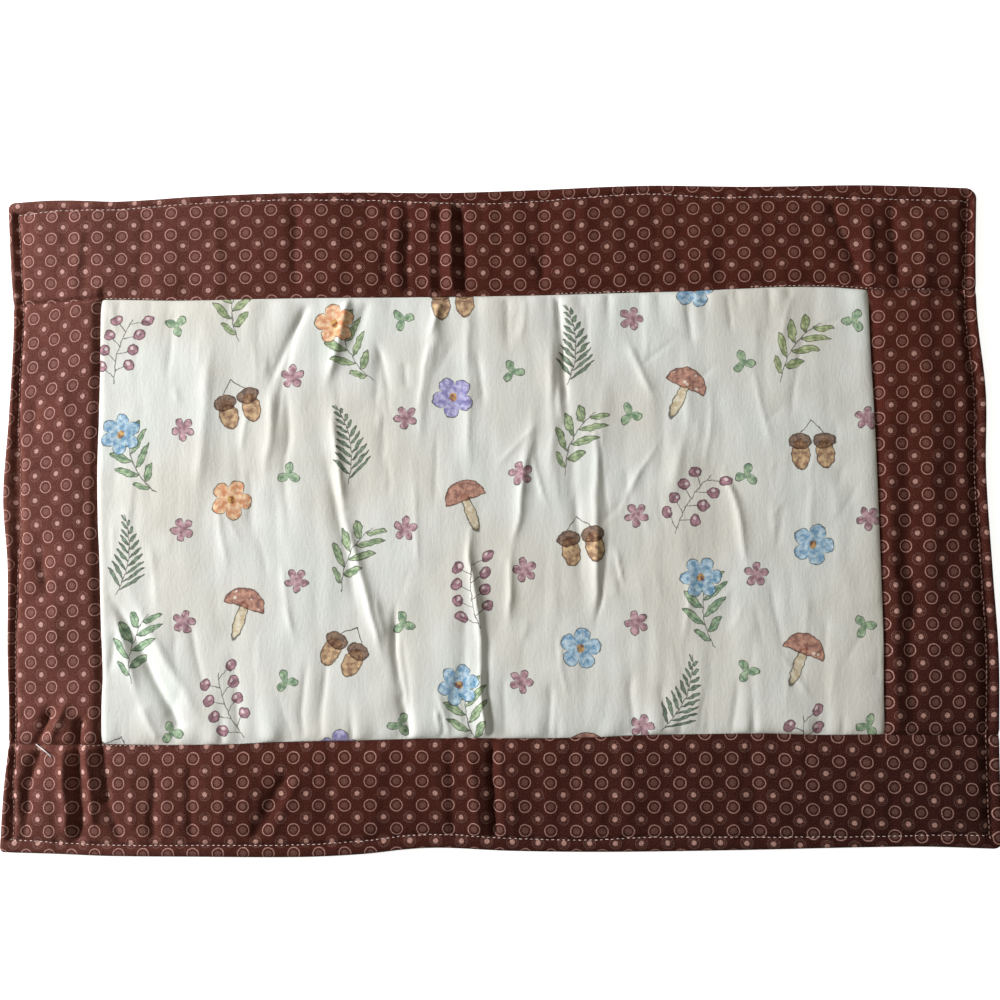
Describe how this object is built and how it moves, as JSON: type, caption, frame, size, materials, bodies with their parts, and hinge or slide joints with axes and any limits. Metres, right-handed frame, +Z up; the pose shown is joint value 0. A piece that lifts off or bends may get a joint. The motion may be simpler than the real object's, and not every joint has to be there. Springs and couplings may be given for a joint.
{
  "type": "fabric placemat",
  "caption": "Rectangular padded fabric placemat with a printed cream panel, dotted brown borders and a topstitched rolled edge, lying flat and softly creased.",
  "frame": {"origin": "middle of the mat's bounding rectangle, on the flat underside", "axes": "+X along the long side to the right in the picture, +Y along the short side to its top, +Z up out of the printed face"},
  "size_m": [0.461, 0.3111, 0.0066],
  "materials": {
    "back_cotton": "plain-weave brown cotton, matt",
    "cream_cotton": "plain-weave cream cotton with a small many-coloured plant print, softly creased",
    "brown_cotton": "plain-weave dark brown cotton printed with tan-pink rings and dots"
  },
  "bodies": {
    "root": {"back_cloth": "back_cotton", "centre_panel": "cream_cotton", "border_top": "brown_cotton", "border_bottom": "brown_cotton", "border_left": "brown_cotton", "border_right": "brown_cotton"}
  },
  "joints": []
}
